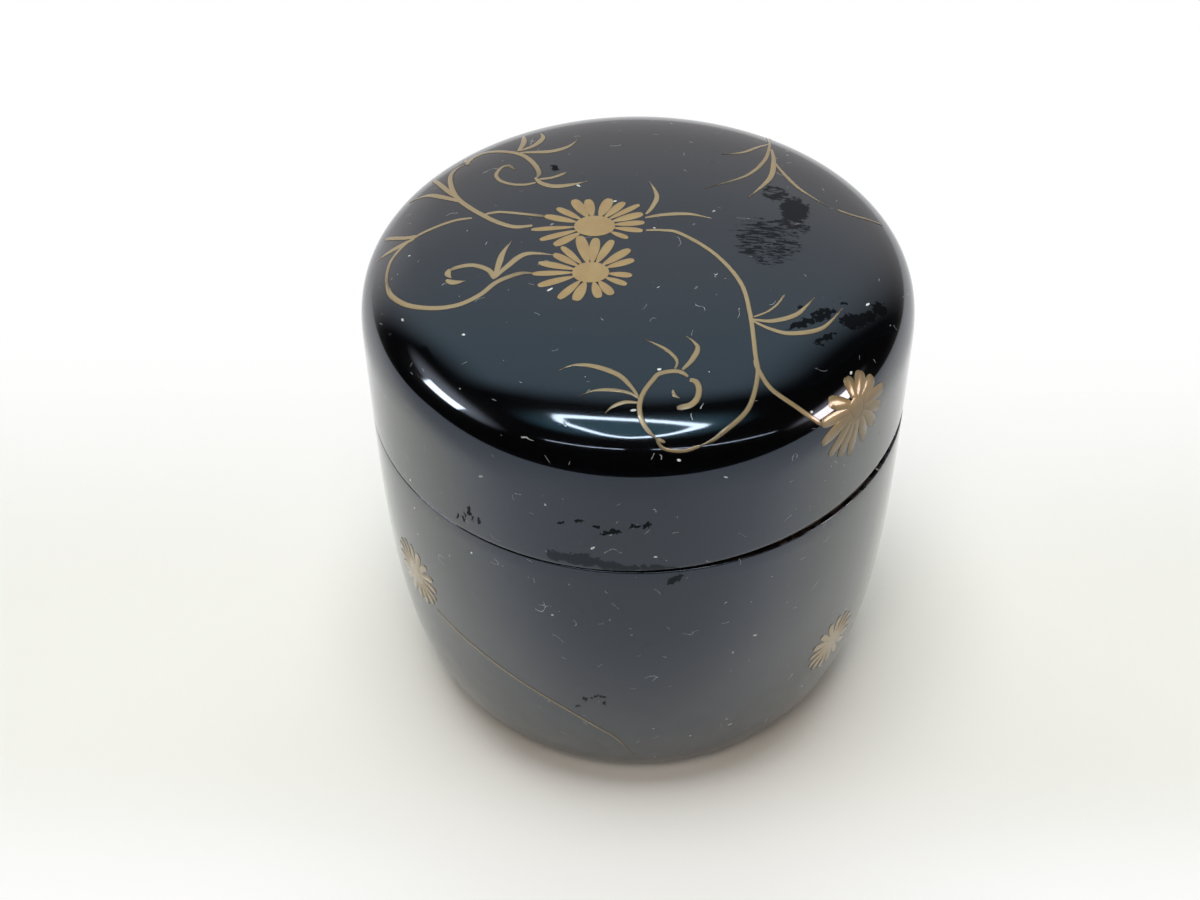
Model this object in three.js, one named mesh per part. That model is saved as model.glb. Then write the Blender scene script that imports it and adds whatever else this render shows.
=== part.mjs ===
// A round tea box with a lift-off lid: two turned wooden cups, each with a ground coat, an outer coat of
// black lacquer and a lacquer lining. The body has a standing rim, and the lid slides down over it.
// Millimetres, +Z up. The origin is the middle of the foot, on the surface that the box stands on.
import * as THREE from "three";

// Driving dimensions
const DIAMETER = 66;
const TOTAL_HEIGHT = 68.4;
const SEAM_HEIGHT = 46.1; // where the lid's edge meets the body's ledge
const SHOULDER_HEIGHT = 55.8; // where the lid's straight side starts to turn in
const FOOT_DIAMETER = 41;
const FOOT_HEIGHT = 0.8;
const FOOT_RING_WIDTH = 4;
const FOOT_RECESS = 0.7;
const LID_WALL = 2.5;
const LID_TOP = 3.2;
const RIM_WALL = 2;
const RIM_HEIGHT = 8;
const RIM_CLEARANCE = 0.2;
const BODY_FLOOR = 5;
const LACQUER = 0.35;
const GROUND = 0.3;
const LINING = 0.4;

// Powers of the Lame curves that the cups are turned to: a larger power is squarer
const CROWN_POWER = { reach: 2.7, rise: 3.9 };
const BELLY_POWER = { reach: 3.45, rise: 2.75 };

// Fineness of the solids
const SEGMENTS = 48;
const CROWN_SPANS = 9;
const BELLY_SPANS = 9;

// Sizes that follow from the driving dimensions
const RADIUS = DIAMETER / 2;
const FOOT_RADIUS = FOOT_DIAMETER / 2;
const COAT = LACQUER + GROUND;
const LID_MOUTH = RADIUS - LID_WALL;
const LID_CEILING = TOTAL_HEIGHT - LID_TOP;
const RIM_OUTSIDE = LID_MOUTH - RIM_CLEARANCE;
const RIM_INSIDE = RIM_OUTSIDE - RIM_WALL;
const RIM_TOP = SEAM_HEIGHT + RIM_HEIGHT;
const FLOOR_RADIUS = RIM_INSIDE * (FOOT_RADIUS / RADIUS);

const point = (radius, height) => new THREE.Vector2(radius, height);

// Points of a quarter Lame curve, from (reach, 0) round to (0, rise)
function lameQuarter(reach, rise, power, spans) {
  return Array.from({ length: spans + 1 }, (_, step) => {
    const angle = (step / spans) * (Math.PI / 2);
    const across = step === spans ? 0 : Math.cos(angle) ** (2 / power.reach);
    return point(reach * across, rise * Math.sin(angle) ** (2 / power.rise));
  });
}

// A curve moved by a depth to the right of its direction, with mitred corners.
// The curve starts on the axis, where it is level.
function inset(curve, depth) {
  const rightOf = (from, to) => {
    const along = to.clone().sub(from).normalize();
    return point(along.y, -along.x);
  };
  return curve.map((here, index) => {
    const before = index > 0 ? curve[index - 1] : point(-curve[1].x, curve[1].y);
    const after = curve[index + 1];
    const first = rightOf(before, here);
    const second = after ? rightOf(here, after) : first;
    const mitre = first.clone().add(second).divideScalar(1 + first.dot(second));
    return here.clone().addScaledVector(mitre, depth);
  });
}

// One face of the lid, from the middle of its crown out and down to the seam
function lidFace(radius, top) {
  const crown = lameQuarter(radius, top - SHOULDER_HEIGHT, CROWN_POWER, CROWN_SPANS);
  const raised = crown.map((p) => point(p.x, p.y + SHOULDER_HEIGHT));
  return [...raised.reverse(), point(radius, SEAM_HEIGHT)];
}

// A cup's belly, from its foot radius out and up to its full radius at the seam
function belly(footRadius, fullRadius, bottom) {
  const curve = lameQuarter(fullRadius - footRadius, SEAM_HEIGHT - bottom, BELLY_POWER, BELLY_SPANS);
  return curve.reverse().map((p) => point(footRadius + p.x, SEAM_HEIGHT - p.y));
}

// The underside, from the middle of the base to the outer edge of the foot ring
const base = [
  point(0, FOOT_RECESS),
  point(FOOT_RADIUS - FOOT_RING_WIDTH, FOOT_RECESS),
  point(FOOT_RADIUS - FOOT_RING_WIDTH, 0),
  point(FOOT_RADIUS, 0),
];

// The outside of the body, from the middle of its base to the inner end of the ledge that carries the lid
const bodyOutside = [
  ...base,
  ...belly(FOOT_RADIUS, RADIUS, FOOT_HEIGHT),
  point(RIM_OUTSIDE - LINING, SEAM_HEIGHT),
];

// The hollow of the body, from the middle of its floor to the top of the standing rim
const bodyInside = [
  point(0, BODY_FLOOR),
  ...belly(FLOOR_RADIUS, RIM_INSIDE, BODY_FLOOR),
  point(RIM_INSIDE, RIM_TOP),
];

const lidOutside = lidFace(RADIUS, TOTAL_HEIGHT);
const lidInside = lidFace(LID_MOUTH, LID_CEILING);

// The outside of the body at a depth below the finished surface
const bodyAtDepth = (depth) => inset(bodyOutside, -depth);

// The outside of the lid at a depth below the finished surface, and across its lower edge to the lining
function lidAtDepth(depth) {
  const face = inset(lidOutside, depth);
  face.at(-1).setY(SEAM_HEIGHT + depth);
  return [...face, point(LID_MOUTH + LINING, SEAM_HEIGHT + depth)];
}

// The back of the body's lining, over the standing rim and down its outside to a height
function bodyLiningBack(end) {
  const wall = inset(bodyInside, LINING);
  wall.at(-1).setY(RIM_TOP - LINING);
  return [...wall, point(RIM_OUTSIDE - LINING, RIM_TOP - LINING), point(RIM_OUTSIDE - LINING, end)];
}

// A solid turned about Z between a lower curve and an upper curve, both run outwards
function turned(name, lower, upper, material) {
  const profile = [...lower, ...upper.slice().reverse()];
  if (lower[0].x > 0) profile.push(lower[0]);
  const geometry = new THREE.LatheGeometry(profile, SEGMENTS).rotateX(Math.PI / 2);
  const mesh = new THREE.Mesh(geometry, material);
  mesh.name = name;
  return mesh;
}

const blackLacquer = new THREE.MeshStandardMaterial({ color: 0x0b0b0d, roughness: 0.12 });
const liningLacquer = new THREE.MeshStandardMaterial({ color: 0x0d0b0a, roughness: 0.2 });
const groundCoat = new THREE.MeshStandardMaterial({ color: 0x4a3a2c, roughness: 0.9 });
const turnedWood = new THREE.MeshStandardMaterial({ color: 0xa67c4f, roughness: 0.75 });

function makeBody() {
  const body = new THREE.Group();
  const surface = bodyAtDepth(0);
  const underLacquer = bodyAtDepth(LACQUER);
  const wood = bodyAtDepth(COAT).slice(0, -1);
  const liningFace = [...bodyInside, point(RIM_OUTSIDE, RIM_TOP), point(RIM_OUTSIDE, SEAM_HEIGHT)];
  const underside = base.length + 1; // the base is coated on its own, out to the corner above the foot
  body.add(
    turned("base_lacquer", surface.slice(0, underside), underLacquer.slice(0, underside), blackLacquer),
    turned("body_lacquer", surface.slice(base.length), underLacquer.slice(base.length), blackLacquer),
    turned("body_ground_coat", underLacquer, bodyAtDepth(COAT), groundCoat),
    turned("body_core", wood, bodyLiningBack(SEAM_HEIGHT - COAT), turnedWood),
    turned("body_lining", bodyLiningBack(SEAM_HEIGHT), liningFace, liningLacquer),
  );
  return body;
}

function makeLid() {
  const lid = new THREE.Group();
  const liningBack = inset(lidInside, -LINING);
  lid.add(
    turned("lid_lacquer", lidAtDepth(LACQUER), lidAtDepth(0), blackLacquer),
    turned("lid_ground_coat", lidAtDepth(COAT), lidAtDepth(LACQUER), groundCoat),
    turned("lid_core", liningBack.slice(0, -1), lidAtDepth(COAT), turnedWood),
    turned("lid_lining", lidInside, liningBack, liningLacquer),
  );
  return lid;
}

const teaBox = new THREE.Group();
teaBox.add(makeBody(), makeLid());

export default teaBox;
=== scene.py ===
"""Looks of a round tea box: black lacquer with gold chrysanthemums on scrolling vines.

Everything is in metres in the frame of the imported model, with +Z up. The side that faces the camera is -Y.
"""
import bisect
import functools
import itertools
import math

import bmesh
import bpy
from bpy.props import FloatProperty, FloatVectorProperty, IntProperty, PointerProperty
from mathutils import Matrix, Vector


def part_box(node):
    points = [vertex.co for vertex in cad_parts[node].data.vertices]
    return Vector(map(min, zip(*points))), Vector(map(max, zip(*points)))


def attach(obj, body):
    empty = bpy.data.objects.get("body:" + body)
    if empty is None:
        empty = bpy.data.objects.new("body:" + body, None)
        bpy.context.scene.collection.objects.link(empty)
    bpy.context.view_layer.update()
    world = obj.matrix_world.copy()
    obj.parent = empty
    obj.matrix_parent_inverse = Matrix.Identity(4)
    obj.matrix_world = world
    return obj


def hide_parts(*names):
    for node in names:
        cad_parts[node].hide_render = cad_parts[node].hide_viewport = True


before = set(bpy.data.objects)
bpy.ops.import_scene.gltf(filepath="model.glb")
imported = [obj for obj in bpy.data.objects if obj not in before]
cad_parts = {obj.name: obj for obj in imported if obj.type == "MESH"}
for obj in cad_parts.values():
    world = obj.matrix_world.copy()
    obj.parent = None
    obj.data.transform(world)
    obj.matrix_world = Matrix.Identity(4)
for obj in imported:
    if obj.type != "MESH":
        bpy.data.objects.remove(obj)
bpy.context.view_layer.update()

bl_info = {
    "name": "Lacquer Tea Box",
    "version": (1, 0, 0),
    "blender": (4, 5, 0),
    "location": "View3D > Sidebar > Tea Box",
    "description": "Dresses a turned tea box in black lacquer with gold chrysanthemum scrolls",
    "category": "Add Mesh",
}

MM = 0.001
WHITE = (1.0, 1.0, 1.0)
MID_GREY = (0.5, 0.5, 0.5)
BLACK = (0.0, 0.0, 0.0)
ORIGIN = (0.0, 0.0, 0.0)
NEAR_AXIS = 1e-9
LID_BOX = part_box("lid_lacquer")
LID_GROUND_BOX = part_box("lid_ground_coat")
LID_LINING_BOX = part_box("lid_lining")
BODY_LINING_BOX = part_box("body_lining")
BASE_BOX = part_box("base_lacquer")
LINING = 0.4 * MM

# Spans of the finely turned faces, and of the faces that stay hidden
FINE_SPANS = 96
HIDDEN_SPANS = 16
SIDE_RINGS = 14
CORNER_STEPS = 5
SMOOTH_ANGLE = math.radians(38)

# Depths of the relief that the finishes shade, and how strongly the lacquers mirror
LACQUER_SWELL = 0.02 * MM
GOLD_GRAIN = 0.012 * MM
LINING_RINGS = 0.01 * MM
GROUND_GRIT = 0.02 * MM
WOOD_PORES = 0.03 * MM
POLISHED_IOR = 1.63
DULL_IOR = 1.10
LINING_IOR = 1.55

# How finely a painted stroke is laid, in millimetres, and its section: the side, whether it is outside the
# gold, and the share of the relief. A flower's eye has the share of its half size and that of the relief
STROKE_STEP = 0.35
STROKE_SECTION = (
    (-0.5, True, -0.9), (-0.5, True, 0.2), (-0.5, False, 0.55), (0.0, False, 1.0),
    (0.5, False, 0.55), (0.5, True, 0.2), (0.5, True, -0.9),
)
DISC_SECTION = ((1.0, -0.9), (1.0, 0.6), (0.86, 1.1), (0.5, 1.35), (0.0, 1.4))
DISC_CORNERS = 40

# Widths at the ends of a stroke, as shares of its full width
TIP_SHARE = 0.16
STEM_START = 0.55
LEAF_START = 0.42
BUD_START = 0.7
BUD_END = 0.55

# A petal starts at a share of the eye's half size, is narrow there where the gold is full, is widest at a
# share of its length, and its round tip would end a little past it
PETAL_ROOT = 0.99
NARROW_ROOT = 0.22
PETAL_WIDEST = 0.62
PETAL_TIP = 0.42

# Gold on a full flower, and how it runs out from the start of a stroke to its tip
FLOWER_GOLD = 1.8
START_GOLD = 1.9
GOLD_LOSS = 1.35

# Petals of the body's flowers: width in millimetres, how far it differs and how often, and their gold
ROUND_PETAL = 1.02
PETAL_DIFFERS = 0.12
PETAL_BEAT = 2.4
ROUND_GOLD = 0.52


def length(name, description, default):
    """A length that a user may change."""
    return FloatProperty(name=name, description=description, default=default, unit="LENGTH", precision=5)


def power(name, description, default):
    """A power of a Lame curve that a user may change."""
    return FloatProperty(name=name, description=description, default=default, min=1.0)


def colour(name, description, default):
    """A colour that a user may change."""
    return FloatVectorProperty(
        name=name, description=description, default=default, subtype="COLOR", size=3, min=0.0, max=1.0
    )


class TeaBoxSizes(bpy.types.PropertyGroup):
    """Sizes of the turned pieces and of the painted ornament."""

    radius: length("Radius", "Widest radius of the lid and the body", LID_BOX[1].x)
    height: length("Height", "Height of the closed box", LID_BOX[1].z)
    seam: length("Seam", "Height at which the lid meets the body", LID_BOX[0].z)
    shoulder: length("Shoulder", "Height at which the lid's side starts to turn in", 55.8 * MM)
    lacquer: length("Lacquer", "Thickness of the black lacquer", LID_BOX[1].z - LID_GROUND_BOX[1].z)
    lining: length("Lining", "Thickness of the lacquer inside", LINING)
    mouth: length("Mouth", "Inside radius of the lid", LID_LINING_BOX[1].x - LINING)
    ceiling: length("Ceiling", "Height of the inside of the crown", LID_LINING_BOX[1].z - LINING)
    rim_outside: length("Rim outside", "Outside radius of the standing rim", BODY_LINING_BOX[1].x)
    rim_wall: length("Rim wall", "Thickness of the standing rim", 2.0 * MM)
    rim_top: length("Rim top", "Height of the top of the standing rim", BODY_LINING_BOX[1].z)
    floor: length("Floor", "Height of the inside floor", BODY_LINING_BOX[0].z + LINING)
    foot_radius: length("Foot radius", "Outside radius of the foot ring", BASE_BOX[1].x)
    foot_height: length("Foot height", "Height of the foot ring", 0.8 * MM)
    foot_ring: length("Foot ring", "Width of the foot ring", 4.0 * MM)
    foot_recess: length("Foot recess", "Depth of the underside inside the foot ring", 0.7 * MM)
    edge: length("Edge", "Rounding of the lacquered edges", 0.22 * MM)
    edge_loss: length("Edge loss", "Lacquer lost from the lid's lower edge at the right", 1.6 * MM)
    relief: length("Relief", "Height of the gold above the lacquer", 0.06 * MM)
    stem: length("Stem", "Width of a painted stem", 0.45 * MM)
    leaf: length("Leaf", "Width of a painted leaf", 0.58 * MM)
    slim: length("Slim leaf", "Width of a slim painted leaf", 0.42 * MM)
    fine: length("Fine line", "Width of a fine painted line", 0.35 * MM)
    hair: length("Hairline", "Width of the finest painted line", 0.28 * MM)
    bud: length("Bud", "Width of a curled end", 0.60 * MM)
    # The dark lacquer beside the gold is painted shade along the edges of the strokes
    outline: length("Outline", "Dark lacquer that shows beside the gold", 0.12 * MM)
    crown_reach: power("Crown reach", "Squareness of the crown, across", 2.7)
    crown_rise: power("Crown rise", "Squareness of the crown, upwards", 3.9)
    belly_reach: power("Belly reach", "Squareness of the belly, across", 3.45)
    belly_rise: power("Belly rise", "Squareness of the belly, upwards", 2.75)
    segments: IntProperty(name="Segments", description="Faces round a turned piece", default=240, min=24)


class TeaBoxColours(bpy.types.PropertyGroup):
    """Colours of the finishes and of the stage."""

    lacquer: colour("Lacquer", "Polished black lacquer", (0.0016, 0.0017, 0.0022))
    worn: colour("Worn edge", "Brown that shows where an edge is rubbed", (0.024, 0.015, 0.011))
    dust: colour("Dust", "Specks of dust", (0.75, 0.77, 0.76))
    gold: colour("Gold", "Sprinkled gold powder", (0.364, 0.25, 0.097))
    gold_worn: colour("Worn gold", "Thin and rubbed gold", (0.336, 0.213, 0.08))
    gold_vine: colour("Vine gold", "Paler gold of the vines", (0.315, 0.237, 0.125))
    # Brown lacquer under thin gold; beside the strokes it is painted shade along their edges
    outline: colour("Outline", "Brown lacquer that the gold is sprinkled on", (0.014, 0.011, 0.009))
    lining: colour("Lining", "Brushed black lacquer inside", (0.007, 0.006, 0.005))
    ground: colour("Ground", "Clay ground below the lacquer", (0.016, 0.011, 0.008))
    wood: colour("Wood", "Turned wood", (0.38, 0.21, 0.09))
    wood_dark: colour("Dark grain", "Late wood in the grain", (0.21, 0.10, 0.04))
    gloss: colour("Gloss", "Tint of the lacquer's gloss, seen straight on", (0.66, 0.78, 1.0))
    table: colour("Table", "Pale table", (0.88, 0.875, 0.84))
    backdrop_low: colour("Backdrop below", "Backdrop near the table", (0.85, 0.81, 0.80))
    backdrop_high: colour("Backdrop above", "Backdrop at its top", (0.80, 0.99, 1.0))
    room: colour("Room", "Dim room round the table", (0.010, 0.011, 0.013))


class Wire:
    """A socket of a finish. Arithmetic on it adds Math nodes."""

    def __init__(self, finish, socket):
        self.finish = finish
        self.socket = socket

    def _math(self, operation, first, second):
        return self.finish.node("ShaderNodeMath", {"operation": operation}, {0: first, 1: second})

    def __add__(self, other):
        return self._math("ADD", self, other)

    def __radd__(self, other):
        return self._math("ADD", other, self)

    def __sub__(self, other):
        return self._math("SUBTRACT", self, other)

    def __rsub__(self, other):
        return self._math("SUBTRACT", other, self)

    def __mul__(self, other):
        return self._math("MULTIPLY", self, other)

    def __rmul__(self, other):
        return self._math("MULTIPLY", other, self)

    def most(self, other):
        """The larger of two values."""
        return self._math("MAXIMUM", self, other)

    def least(self, other):
        """The smaller of two values."""
        return self._math("MINIMUM", self, other)

    def size(self):
        """The value without its sign."""
        return self._math("ABSOLUTE", self, 0.0)

    def step(self, start, end):
        """Rises smoothly from 0 at start to 1 at end. It falls where end is below start."""
        low, high = (0.0, 1.0) if start < end else (1.0, 0.0)
        sockets = {
            "Value": self,
            "From Min": min(start, end),
            "From Max": max(start, end),
            "To Min": low,
            "To Max": high,
        }
        return self.finish.node("ShaderNodeMapRange", {"interpolation_type": "SMOOTHSTEP"}, sockets)


class Finish:
    """The nodes of a material or of the world."""

    def __init__(self, owner):
        owner.use_nodes = True
        self.owner = owner
        self.tree = owner.node_tree
        self.tree.nodes.clear()

    def node(self, kind, settings=None, sockets=None, output=0):
        """Adds a node: first its settings, then the values or links of its sockets. Gives one output."""
        made = self.tree.nodes.new(kind)
        for name, value in (settings or {}).items():
            setattr(made, name, value)
        for key, value in (sockets or {}).items():
            self._fill(self._socket(made.inputs, key), value)
        return Wire(self, self._socket(made.outputs, output)) if made.outputs else made

    @staticmethod
    def _socket(sockets, key):
        if isinstance(key, int):
            return sockets[key]
        return next(s for s in sockets if key in (s.identifier, s.name))

    def _fill(self, socket, value):
        if isinstance(value, Wire):
            self.tree.links.new(value.socket, socket)
        elif socket.type == "RGBA" and len(value) == 3:
            socket.default_value = (*value, 1.0)
        else:
            socket.default_value = value

    def place(self):
        """The place on the piece, in millimetres."""
        spot = self.node("ShaderNodeTexCoord", output="Object")
        return self.node("ShaderNodeVectorMath", {"operation": "SCALE"}, {0: spot, "Scale": 1.0 / MM})

    def stretched(self, place, scale):
        """A place with each axis scaled by its own amount."""
        return self.vector("MULTIPLY", place, scale)

    def vector(self, operation, first, second, output="Vector"):
        """Vector maths on two places or directions."""
        sockets = {0: first, 1: second}
        return self.node("ShaderNodeVectorMath", {"operation": operation}, sockets, output)

    def reach(self, place):
        """How far a place is from the middle."""
        return self.vector("LENGTH", place, ORIGIN, output="Value")

    def axis(self, place, name):
        """One coordinate of a place."""
        return self.node("ShaderNodeSeparateXYZ", None, {0: place}, output=name)

    def noise(self, place, scale, detail=2.0, rough=0.5):
        """Smooth noise from 0 to 1, with a number of waves to the millimetre."""
        sockets = {"Vector": place, "Scale": scale, "Detail": detail, "Roughness": rough}
        return self.node("ShaderNodeTexNoise", None, sockets)

    def mix(self, share, first, second):
        """A colour between two colours."""
        sockets = {"Factor_Float": share, "A_Color": first, "B_Color": second}
        return self.node("ShaderNodeMix", {"data_type": "RGBA"}, sockets, output="Result_Color")

    def bump(self, height, depth):
        """A normal from a height, whose full range is a depth in metres."""
        return self.node("ShaderNodeBump", None, {"Strength": 1.0, "Distance": depth, "Height": height})

    def shader(self, sockets):
        """A Principled surface."""
        return self.node("ShaderNodeBsdfPrincipled", None, sockets)

    def glow(self, shade, light):
        """A surface that gives light."""
        return self.node("ShaderNodeEmission", None, {"Color": shade, "Strength": light})

    def blend(self, share, first, second):
        """A surface between two surfaces."""
        return self.node("ShaderNodeMixShader", None, {0: share, 1: first, 2: second})

    def finish(self, surface, kind="ShaderNodeOutputMaterial"):
        """Links the surface and gives the material back."""
        self.node(kind, None, {"Surface": surface})
        return self.owner


def shared(name, maker, *details):
    """The material of that name, made on its first use."""
    known = bpy.data.materials.get(name)
    return known or maker(Finish(bpy.data.materials.new(name)), *details)


def dust(finish, place):
    """Slivers of dust, each turned its own way, and a few crumbs between them."""
    cell = {"Vector": place, "Scale": 0.42, "Randomness": 1.0}
    middle = finish.node("ShaderNodeTexVoronoi", None, cell, output="Position")
    chance = finish.node("ShaderNodeTexVoronoi", None, cell, output="Color")
    offset = finish.vector("SUBTRACT", place, middle)
    lean = finish.vector("NORMALIZE", finish.vector("SUBTRACT", chance, MID_GREY), ORIGIN)
    along = finish.vector("DOT_PRODUCT", offset, lean, output="Value")
    reach = finish.vector("DOT_PRODUCT", offset, offset, output="Value")
    sliver = (reach - along * along * 0.88).step(0.025, 0.013)
    sliver = sliver * finish.axis(chance, "X").step(0.70, 0.92)
    crumb_cell = {"Vector": place, "Scale": 0.9, "Randomness": 1.0}
    near = finish.node("ShaderNodeTexVoronoi", None, crumb_cell, output="Distance")
    pick = finish.node("ShaderNodeTexVoronoi", None, crumb_cell, output="Color")
    crumb = near.step(0.070, 0.045) * finish.axis(pick, "X").step(0.85, 0.98) * 0.6
    return sliver.most(crumb)


def black_lacquer(finish, colours):
    """Polished black lacquer: a slow swell, dust, dull rubbed patches, smears, and worn edges."""
    place = finish.place()
    swell = finish.noise(place, 0.13, detail=1.0)
    brush = finish.noise(place, 1.6, detail=2.0)
    normal = finish.bump(swell + brush * 0.035, LACQUER_SWELL)

    hair = (finish.noise(place, 0.42, detail=0.5) - 0.5).size().step(0.006, 0.002)
    hair = hair * finish.noise(place, 0.5, detail=0.0).step(0.72, 0.74) * 0.5
    pale = dust(finish, place).most(hair)

    worn = self_mark(finish, "worn") * finish.noise(place, 0.8, detail=4.0).step(0.36, 0.58)
    base = finish.mix(worn, colours.lacquer, colours.worn)
    base = finish.mix(pale, base, colours.dust)
    cloud = finish.noise(place, 0.35, detail=3.0)
    rough = 0.05 + cloud * 0.04 + worn * 0.4 + pale * 0.6
    facing = finish.node("ShaderNodeLayerWeight", None, None, output="Facing")
    haze = 0.03 + facing.step(0.36, 0.54) * 0.50 - facing.step(0.56, 0.80) * 0.27
    polished = finish.shader({
        "Base Color": base, "Roughness": rough, "IOR": POLISHED_IOR, "Specular Tint": colours.gloss,
        "Normal": normal, "Coat Weight": haze, "Coat Roughness": 0.25, "Sheen Weight": 0.05,
        "Sheen Roughness": 0.3,
    })

    blotch = finish.noise(place, 2.0, detail=4.0, rough=0.6) - 0.5
    streak = finish.noise(finish.stretched(place, (0.6, 3.6, 3.6)), 1.0, detail=2.0, rough=0.6) - 0.5
    ahead = finish.axis(place, "Y").step(0.0, -4.0)
    rubbed = (patches(finish, "lid_chart", LID_RUBBED) + blotch * 1.6).step(0.48, 0.56) * 0.90
    smeared = patches(finish, "lid_chart", LID_SMEARED) * 0.6 + streak * 2.0 + blotch * 0.6
    smeared = smeared.step(0.44, 0.62) * 0.74
    faded = (patches(finish, "lid_chart", LID_FADED) + blotch).step(0.50, 0.55) * 0.52
    below = (patches(finish, "body_chart", BODY_RUBBED) * ahead + blotch * 2.2).step(0.48, 0.56) * 0.75
    # The gloss is duller towards the bottom of the body, which looks darker there
    duller_towards_bottom = finish.axis(place, "Z").step(30.0, 8.0) * (0.12 + cloud * 0.20)
    dull = finish.shader({
        "Base Color": colours.lacquer, "Roughness": 0.5, "IOR": DULL_IOR, "Specular Tint": colours.gloss,
        "Normal": normal,
    })
    share = rubbed.most(smeared).most(faded).most(below).most(duller_towards_bottom)
    return finish.finish(finish.blend(share, polished, dull))


def patches(finish, chart, marks):
    """How far the gloss is gone at a place that the piece keeps in its ornament's millimetres."""
    flat = finish.node("ShaderNodeAttribute", {"attribute_name": chart}, None, output="Vector")
    ripple = {"Vector": flat, "Scale": 1.3, "Detail": 3.0, "Roughness": 0.6}
    shift = finish.node("ShaderNodeTexNoise", None, ripple, output="Color")
    shift = finish.vector("MULTIPLY", finish.vector("SUBTRACT", shift, MID_GREY), (2.0, 2.0, 0.0))
    flat = finish.vector("ADD", flat, shift)
    gone = []
    for x, y, half_long, half_wide, turn, strength in marks:
        sockets = {
            "Vector": flat,
            "Location": (x, y, 0.0),
            "Rotation": (0.0, 0.0, math.radians(turn)),
            "Scale": (half_long, half_wide, 1.0),
        }
        local = finish.node("ShaderNodeMapping", {"vector_type": "TEXTURE"}, sockets)
        gone.append(finish.reach(local).step(1.3, 0.7) * strength)
    return functools.reduce(Wire.most, gone)


def self_mark(finish, name):
    """A value from 0 to 1 that the piece keeps on its points."""
    return finish.node("ShaderNodeAttribute", {"attribute_name": name}, None, output="Fac")


def gold_powder(finish, colours):
    """Gold powder on brown lacquer: thinner on vines, at tips, at the lid's front right; painted shade at the
    front middle.
    """
    place = finish.place()
    grain = finish.noise(place, 7.0, detail=2.0)
    patch = finish.noise(place, 0.5, detail=3.0)
    gilded = self_mark(finish, "gilded")
    gold = finish.mix((patch * 0.6 + grain * 0.4).step(0.40, 0.60), colours.gold_worn, colours.gold)
    gold = finish.mix(gilded.step(0.90, 1.0), colours.gold_vine, gold)
    bare = (patch * 0.45 + grain * 0.55).step(0.36, 0.28)
    side, depth, height = (finish.axis(place, axis) for axis in "XYZ")
    # Painted shade: the gold is darker towards the front middle
    front_painted_shade = depth.step(-15.0, -25.0) * side.size().step(23.0, 13.0)
    # The gold is thinner, so darker, on the lid's front right, over its side flower
    thinner_front_right = side.step(19.0, 23.0) * depth.step(-14.0, -18.0) * height.step(50.0, 54.0)
    cover = gilded.step(0.20, 0.42) * (0.3 + gilded.step(0.30, 0.85) * 0.7)
    cover = cover * (1.0 - bare * 0.6) * (1.0 - front_painted_shade * 0.22) * (1.0 - thinner_front_right * 0.34)
    base = finish.mix(cover, colours.outline, gold)
    rough = 0.38 + grain * 0.16
    normal = finish.bump(grain, GOLD_GRAIN)
    return finish.finish(finish.shader({
        "Base Color": base, "Metallic": cover * 0.32, "Roughness": rough, "Normal": normal,
        "Coat Weight": cover, "Coat Roughness": 0.12, "Specular IOR Level": 0.2,
    }))


def lining_lacquer(finish, colours):
    """Brushed lacquer inside: faint turning rings and a softer gloss."""
    place = finish.place()
    waver = finish.noise(place, 0.12, detail=2.0)
    rings = finish.noise(finish.stretched(place, (0.05, 0.05, 2.4)), 1.0, detail=3.0)
    cloud = finish.noise(place, 0.3, detail=4.0)
    base = finish.mix(cloud * 0.5, colours.lining, colours.worn)
    rough = 0.16 + rings * 0.12 + cloud * 0.08
    normal = finish.bump(rings + waver * 0.4, LINING_RINGS)
    return finish.finish(finish.shader({
        "Base Color": base, "Roughness": rough, "IOR": LINING_IOR, "Normal": normal,
    }))


def clay_ground(finish, colours):
    """Matt ground of clay powder and lacquer: mottled and gritty."""
    place = finish.place()
    mottle = finish.noise(place, 0.6, detail=4.0)
    grit = finish.noise(place, 6.0, detail=2.0)
    base = finish.mix(mottle.step(0.35, 0.7), colours.worn, colours.ground)
    rough = 0.82 + grit * 0.12
    normal = finish.bump(grit, GROUND_GRIT)
    return finish.finish(finish.shader({"Base Color": base, "Roughness": rough, "Normal": normal}))


def turned_wood(finish, colours):
    """Bare turned wood: growth rings cut across, with pores along the grain."""
    place = finish.place()
    waver = finish.noise(place, 0.04, detail=3.0)
    rings = finish.node(
        "ShaderNodeTexWave", {"bands_direction": "X"},
        {"Vector": place, "Scale": 0.12, "Distortion": 3.0, "Detail": 2.0, "Detail Scale": 0.6},
    )
    pores = finish.noise(finish.stretched(place, (2.0, 0.12, 2.0)), 1.0, detail=3.0)
    base = finish.mix(rings * 0.7 + waver * 0.2, colours.wood, colours.wood_dark)
    base = finish.mix(pores.step(0.58, 0.72) * 0.6, base, colours.wood_dark)
    rough = 0.62 + pores * 0.2
    normal = finish.bump(pores, WOOD_PORES)
    return finish.finish(finish.shader({"Base Color": base, "Roughness": rough, "Normal": normal}))


def lame_quarter(reach, rise, reach_power, rise_power, spans):
    """A quarter of a Lame curve, from (reach, 0) round to (0, rise)."""
    points = []
    for step in range(spans + 1):
        angle = step / spans * math.pi / 2
        across = 0.0 if step == spans else math.cos(angle) ** (2 / reach_power)
        points.append((reach * across, rise * math.sin(angle) ** (2 / rise_power)))
    return points


def lid_outline(sizes, radius, top, spans):
    """One face of the lid, from the middle of its crown out and down to the seam."""
    rise = top - sizes.shoulder
    crown = lame_quarter(radius, rise, sizes.crown_reach, sizes.crown_rise, spans)
    drop = sizes.shoulder - sizes.seam
    side = [(radius, sizes.shoulder - drop * ring / SIDE_RINGS) for ring in range(1, SIDE_RINGS + 1)]
    return [(r, z + sizes.shoulder) for r, z in reversed(crown)] + side


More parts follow.
